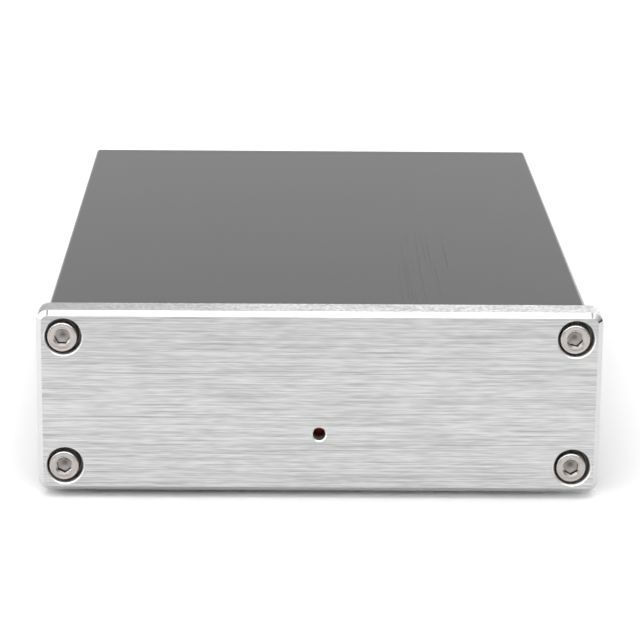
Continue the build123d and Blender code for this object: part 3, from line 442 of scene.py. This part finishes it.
def eased(node, name, width, segments=2, angle=20.0):
    """A copy of a CAD node's mesh whose sharp edges are broken by a small round."""
    bm = bmesh.new()
    bm.from_mesh(bpy.data.objects[node].data)
    bmesh.ops.remove_doubles(bm, verts=bm.verts, dist=0.5e-6)
    bmesh.ops.dissolve_limit(bm, angle_limit=math.radians(0.5), verts=bm.verts, edges=bm.edges)
    mesh = bpy.data.meshes.new(name)
    bm.to_mesh(mesh)
    bm.free()
    smooth(mesh, angle)
    scratch = bpy.data.objects.new(name + "_scratch", mesh)
    collection.objects.link(scratch)
    bevel = scratch.modifiers.new("ease", "BEVEL")
    bevel.width = width * MM
    bevel.segments = segments
    bevel.limit_method = "ANGLE"
    bevel.angle_limit = math.radians(angle)
    bevel.harden_normals = True
    bevel.miter_outer = "MITER_ARC"
    evaluated = scratch.evaluated_get(bpy.context.evaluated_depsgraph_get())
    done = bpy.data.meshes.new_from_object(evaluated)
    bpy.data.objects.remove(scratch)
    return settle(done, name, node)


def turned(bm, rings, place, out, turn, steps=96):
    """Sweeps rings round an axis. Each ring is (shape, depth), for a radius or a function of the angle;
    depth counts back from place against out, and both may be functions. The last ring closes to a point."""
    side = Vector((1, 0, 0))
    above = Vector((0, 0, 1))
    previous = None
    for shape, depth in rings:
        loop = []
        for step in range(steps):
            angle = 2 * math.pi * step / steps
            radius = shape(angle) if callable(shape) else shape
            back = depth(angle) if callable(depth) else depth
            heading = angle + math.radians(turn)
            offset = side * math.cos(heading) * out + above * math.sin(heading)
            loop.append(bm.verts.new(Vector(place) + offset * radius * MM - Vector((0, out, 0)) * back * MM))
            if radius == 0:
                loop = [loop[0]] * steps
                break
        if previous:
            for i in range(steps):
                j = (i + 1) % steps
                face = []
                for vert in (previous[i], previous[j], loop[j], loop[i]):
                    if vert not in face:
                        face.append(vert)
                if len(face) > 2:
                    bm.faces.new(face)
        previous = loop


def arc(centre_r, centre_d, radius, start, stop, count):
    """Rings round the corner of a turned profile; angles run from facing out (0) to facing the rim (90)."""
    angles = [math.radians(start + (stop - start) * i / count) for i in range(count + 1)]
    return [(centre_r + radius * math.cos(a), centre_d - radius * math.sin(a)) for a in angles]


# A cap screw's sizes, in millimetres.
HEAD_R, HEAD_H, HEAD_ROUND = 2.75, 3.0, 0.36
SHANK_R, GROOVE_R, PITCH = 1.5, 1.24, 0.5
HEX_ACROSS = 2.5
SOCKET_DEPTH = 1.5
MOUTH_R = 1.66
MOUTH_SLOPE = 0.75
MOUTH_LIP = 0.03


def socket_flat(angle):
    """Distance from the socket's middle to its side; a corner is at angle 0."""
    return HEX_ACROSS / 2 / math.cos(angle % (math.pi / 3) - math.pi / 6)


def cap_screw(bm, place, turn, out=-1, length=10.0):
    """A hexagon socket cap screw with its head's face at place, facing out along Y."""
    end = HEAD_H + length
    rings = [(0, end), (GROOVE_R - 0.1, end), (GROOVE_R, end - 0.15)]
    for i in range(int(length / PITCH) - 1, 0, -1):
        rings += [(SHANK_R, HEAD_H + (i + 0.45) * PITCH), (SHANK_R, HEAD_H + (i + 0.3) * PITCH),
                  (GROOVE_R, HEAD_H + (i - 0.05) * PITCH)]
    rings += [(SHANK_R, HEAD_H + 0.2), (SHANK_R + 0.1, HEAD_H)]
    rings += [(HEAD_R - 0.15, HEAD_H), (HEAD_R, HEAD_H - 0.15)]
    rings += arc(HEAD_R - HEAD_ROUND, HEAD_ROUND, HEAD_ROUND, 0, 84, 7)
    # Two shallow turning grooves in the head's face, then the lip of the socket's mouth.
    rings += [(2.34, 0.0), (2.31, 0.028), (2.22, 0.03), (2.18, 0.0)]
    rings += [(1.95, 0.0), (1.92, 0.012), (1.87, 0.012), (1.84, 0.0)]
    rings += [(MOUTH_R + MOUTH_LIP, 0.0), (MOUTH_R - MOUTH_LIP, MOUTH_LIP)]
    # The mouth's countersink runs from a circle to the hexagon.
    rings += [(lambda angle, part=part: MOUTH_R - (MOUTH_R - socket_flat(angle)) * part,
               lambda angle, part=part: MOUTH_LIP + (MOUTH_R - socket_flat(angle)) * part * MOUTH_SLOPE)
              for part in (0.5, 1.0)]
    rings += [(socket_flat, 0.5), (socket_flat, SOCKET_DEPTH - 0.05)]
    rings += [(lambda angle: min(socket_flat(angle), HEX_ACROSS / 2) - 0.04, SOCKET_DEPTH)]
    # The drill's point in the socket's floor.
    rings += [(0.9, 1.58), (0.4, 1.78), (0, 1.92)]
    turned(bm, rings, place, out, turn)


# Front screws: how far round each one stopped, from the lower left, upper left, lower right, upper right.
CAP_TURNS = (24, 2, 30, 12)
bm = bmesh.new()
for (x, z), turn in zip([(x, z) for x in cap_x for z in cap_z], CAP_TURNS):
    cap_screw(bm, Vector((x, screw_low.y, z)) + Vector(PLAY), turn)
bmesh.ops.recalc_face_normals(bm, faces=bm.faces)
mesh = bpy.data.meshes.new("front_cap_screws")
bm.to_mesh(mesh)
bm.free()
smooth(mesh)
settle(mesh, "front_cap_screws", "front_screws")

eased("front_panel", "faceplate", 0.07)
eased("top_shell", "upper_case", 0.08)
eased("bottom_shell", "lower_case", 0.08)
eased("rear_panel", "back_plate", 0.12)
